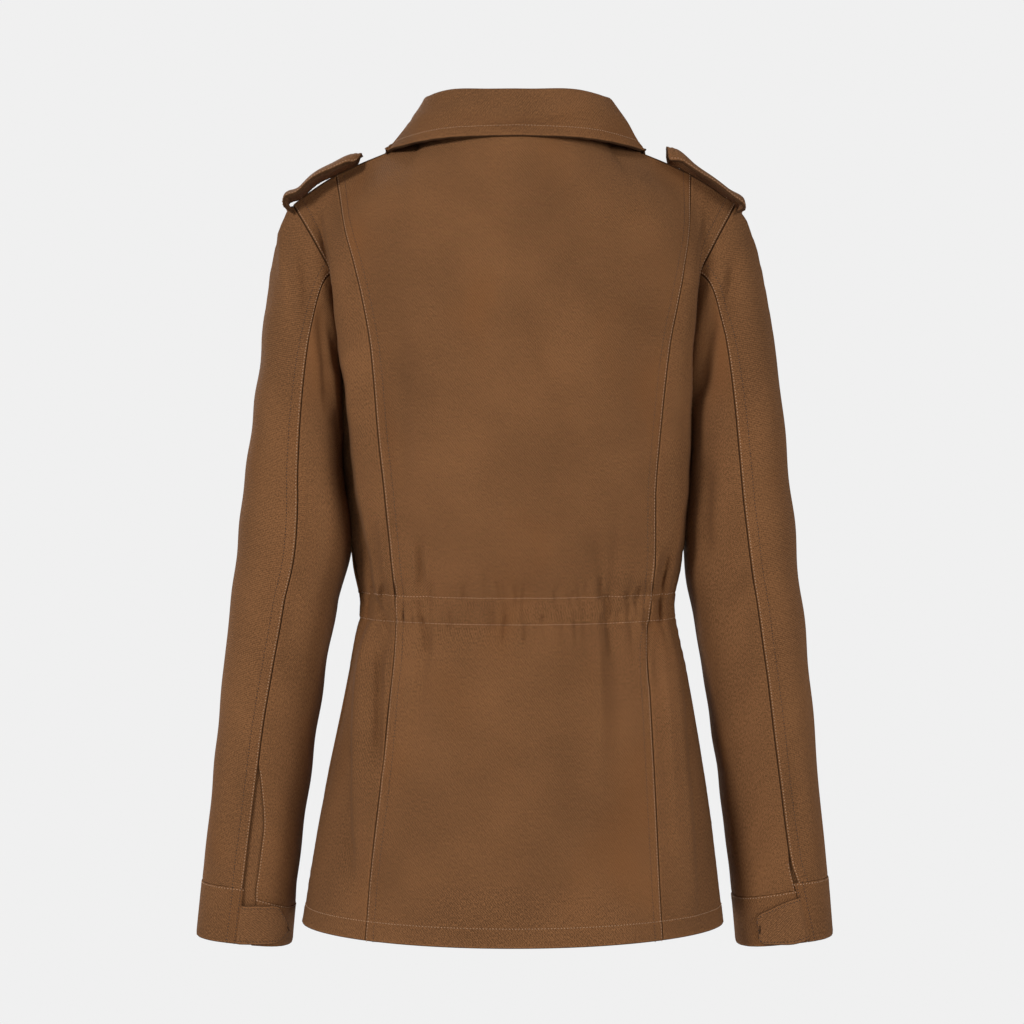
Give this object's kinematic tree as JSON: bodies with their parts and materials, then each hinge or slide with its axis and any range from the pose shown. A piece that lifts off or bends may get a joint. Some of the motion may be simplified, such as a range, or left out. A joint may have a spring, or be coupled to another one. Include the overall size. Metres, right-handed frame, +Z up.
{
  "type": "cargo jacket",
  "caption": "Unlined twill cargo jacket with a turned-down collar, shoulder straps, gathered waist, patch pockets and tabbed cuffs, filled out as worn.",
  "frame": {"origin": "midpoint between the two shoulder tips, at shoulder-tip height, where the wearer's shoulders hold the jacket", "axes": "+Z up, +Y towards the back of the jacket (the side in the picture), +X towards the wearer's left"},
  "size_m": [0.5375, 0.2531, 0.7141],
  "materials": {
    "twill": "matt brown cotton twill",
    "twill_trim": "the same twill, doubled and topstitched",
    "button": "brown horn-look plastic"
  },
  "bodies": {
    "root": {"back_centre_panel": "twill", "back_side_panel_left": "twill", "back_side_panel_right": "twill", "front_panel_left": "twill", "front_panel_right": "twill", "front_placket": "twill_trim", "collar_stand": "twill", "collar_fall": "twill", "sleeve_top_left": "twill", "sleeve_top_right": "twill", "sleeve_under_left": "twill", "sleeve_under_right": "twill", "vent_strip_left": "twill_trim", "vent_strip_right": "twill_trim", "cuff_left": "twill", "cuff_right": "twill", "cuff_tab_left": "twill_trim", "cuff_tab_right": "twill_trim", "epaulette_left": "twill_trim", "epaulette_right": "twill_trim", "pocket_left": "twill", "pocket_right": "twill", "pocket_flap_left": "twill_trim", "pocket_flap_right": "twill_trim", "waist_casing": "twill", "front_button_1": "button", "front_button_2": "button", "front_button_3": "button", "front_button_4": "button", "front_button_5": "button", "front_button_6": "button"}
  },
  "joints": []
}
